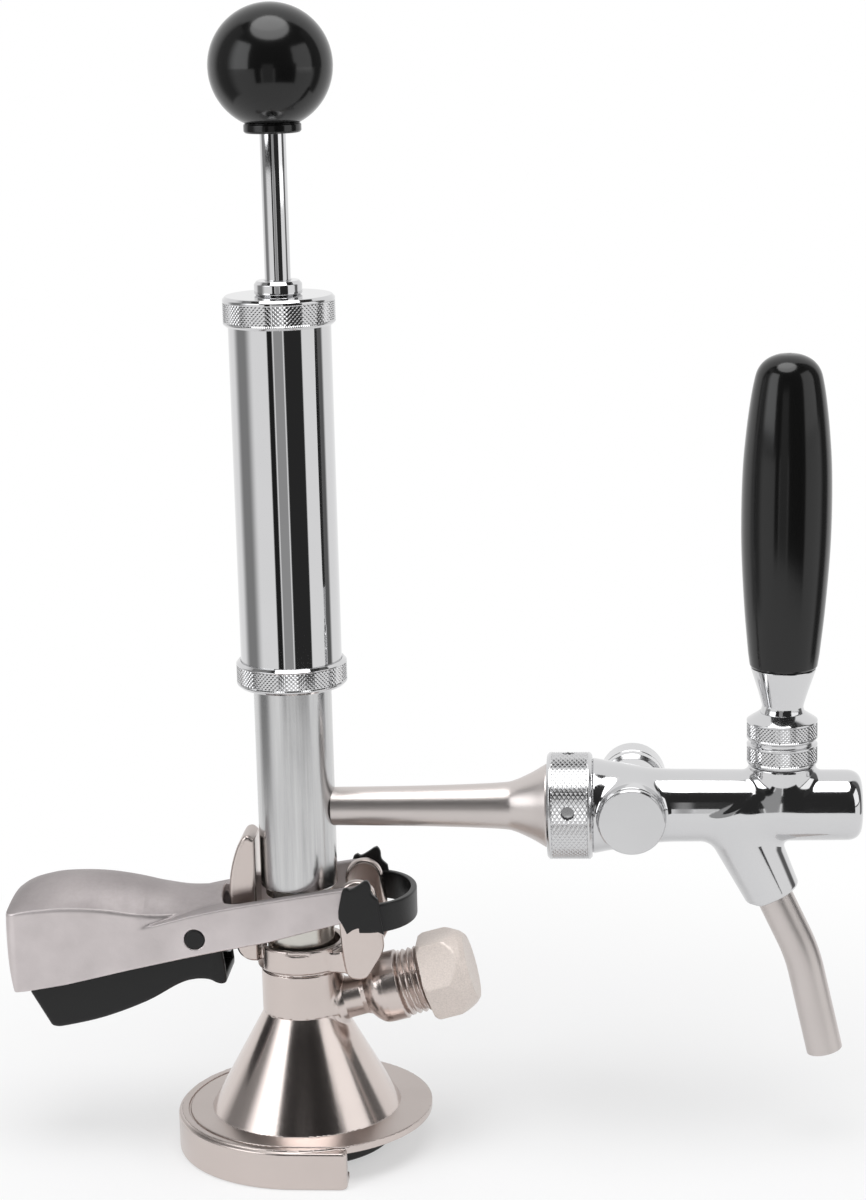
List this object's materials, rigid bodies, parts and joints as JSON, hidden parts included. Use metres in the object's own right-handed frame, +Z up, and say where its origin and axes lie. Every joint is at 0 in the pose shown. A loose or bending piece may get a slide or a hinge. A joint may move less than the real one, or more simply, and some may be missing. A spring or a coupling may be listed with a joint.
{
  "type": "keg party pump",
  "caption": "Lever-locked keg coupler with fork handle, carrying a hand air pump with ball knob and a side arm with a flow-control beer tap",
  "frame": {"origin": "on the pump's axis, at the underside of the coupler's skirt", "axes": "+Z up the pump's axis to the ball knob; +X along the side arm to the tap; -X to the coupler's handle"},
  "size_m": [0.2896, 0.089, 0.388],
  "materials": {
    "satin_nickel": "satin nickel plate on forged brass",
    "blasted_nickel": "blasted flats with nickel plate",
    "probe_nickel": "turned brass with nickel plate",
    "plain_brass": "turned",
    "cast_zinc": "satin grey die casting",
    "plain_steel": "turned",
    "satin_steel": "satin stainless steel",
    "soft_chrome": "softly polished chrome plate",
    "mirror_chrome": "polished chrome plate with knurling",
    "barrel_chrome": "mirror chrome plate",
    "rod_chrome": "ground and plated rod",
    "tap_chrome": "mirror chrome plate",
    "knob_chrome": "satin chrome plate",
    "black_plastic": "matt moulded plastic",
    "gloss_black": "glossy moulded plastic",
    "white_plastic": "moulded food-grade plastic",
    "black_rubber": "moulded rubber"
  },
  "bodies": {
    "coupler_base": {"coupler_body": "satin_nickel", "gas_check_valve": "black_rubber", "gas_cap_washer": "black_rubber", "gas_cap_nut": "blasted_nickel", "hinge_pins": "plain_steel", "hinge_clip": "black_plastic"},
    "fork_handle": {"coupler_handle": "cast_zinc", "drive_pins": "plain_steel", "trigger_pin": "black_plastic"},
    "trigger": {"trigger_lever": "black_plastic", "latch_pawl": "plain_steel", "trigger_spring": "plain_steel"},
    "pump_assembly": {"probe": "probe_nickel", "probe_o_rings": "black_rubber", "bottom_seal": "black_rubber", "beer_riser": "satin_steel", "riser_o_ring": "black_rubber", "pump_column": "soft_chrome", "column_ring": "mirror_chrome", "valve_seat": "plain_brass", "air_check_valve": "black_rubber", "pump_barrel": "barrel_chrome", "barrel_seal": "black_rubber", "pump_cap": "mirror_chrome", "gland_seal": "black_rubber", "gland_nut": "mirror_chrome", "side_arm": "satin_steel", "union_collar": "mirror_chrome", "union_gasket": "black_rubber", "tap_body": "tap_chrome", "compensator_cover": "tap_chrome", "spout_tube": "satin_steel", "bonnet_nut": "mirror_chrome", "stem_o_ring": "black_rubber"},
    "piston": {"pump_rod": "rod_chrome", "piston_nut": "plain_steel", "piston_cup": "black_rubber", "piston_discs": "plain_brass", "ball_knob": "gloss_black"},
    "tap_lever": {"lever_stem": "plain_steel", "lever_ferrule": "tap_chrome", "tap_handle": "gloss_black"},
    "tap_valve": {"valve_stem": "plain_steel", "valve_seal": "black_rubber"},
    "flow_control": {"flow_knob": "knob_chrome", "flow_spindle": "plain_steel"},
    "compensator": {"compensator_plug": "white_plastic"}
  },
  "joints": [
    {"name": "probe_slide", "type": "slide", "parent": "coupler_base", "child": "pump_assembly", "axis": [0, 0, 1], "range_m": [0, 0.0088]},
    {"name": "handle_pivot", "type": "hinge", "parent": "coupler_base", "child": "fork_handle", "pos_m": [0.021, 0, 0.0914], "axis": [0, 1, 0], "range_deg": [0, 23.67]},
    {"name": "trigger_squeeze", "type": "hinge", "parent": "fork_handle", "child": "trigger", "pos_m": [-0.0342, 0, 0.0786], "axis": [0, 1, 0], "range_deg": [0, 7], "stiffness_Nm_per_rad": 0.6, "springref_deg": -11.46},
    {"name": "pump_stroke", "type": "slide", "parent": "pump_assembly", "child": "piston", "axis": [0, 0, 1], "range_m": [-0.047, 0.041]},
    {"name": "lever_tilt", "type": "hinge", "parent": "pump_assembly", "child": "tap_lever", "pos_m": [0.16365, 0, 0.143], "axis": [0, 1, 0], "range_deg": [0, 15]},
    {"name": "valve_slide", "type": "slide", "parent": "pump_assembly", "child": "tap_valve", "axis": [1, 0, 0], "range_m": [-0.00573, 0]},
    {"name": "flow_turn", "type": "hinge", "parent": "pump_assembly", "child": "flow_control", "pos_m": [0.1135, 0, 0.1203], "axis": [0, 1, 0], "range_deg": [-60, 60]},
    {"name": "compensator_slide", "type": "slide", "parent": "pump_assembly", "child": "compensator", "axis": [1, 0, 0], "range_m": [-0.00217, 0.00217]}
  ],
  "couplings": [
    {"joint": "handle_pivot", "follows": "probe_slide", "rad_per_m": 46.94},
    {"joint": "valve_slide", "follows": "lever_tilt", "m_per_rad": -0.021795},
    {"joint": "compensator_slide", "follows": "flow_turn", "m_per_rad": 0.002067}
  ]
}
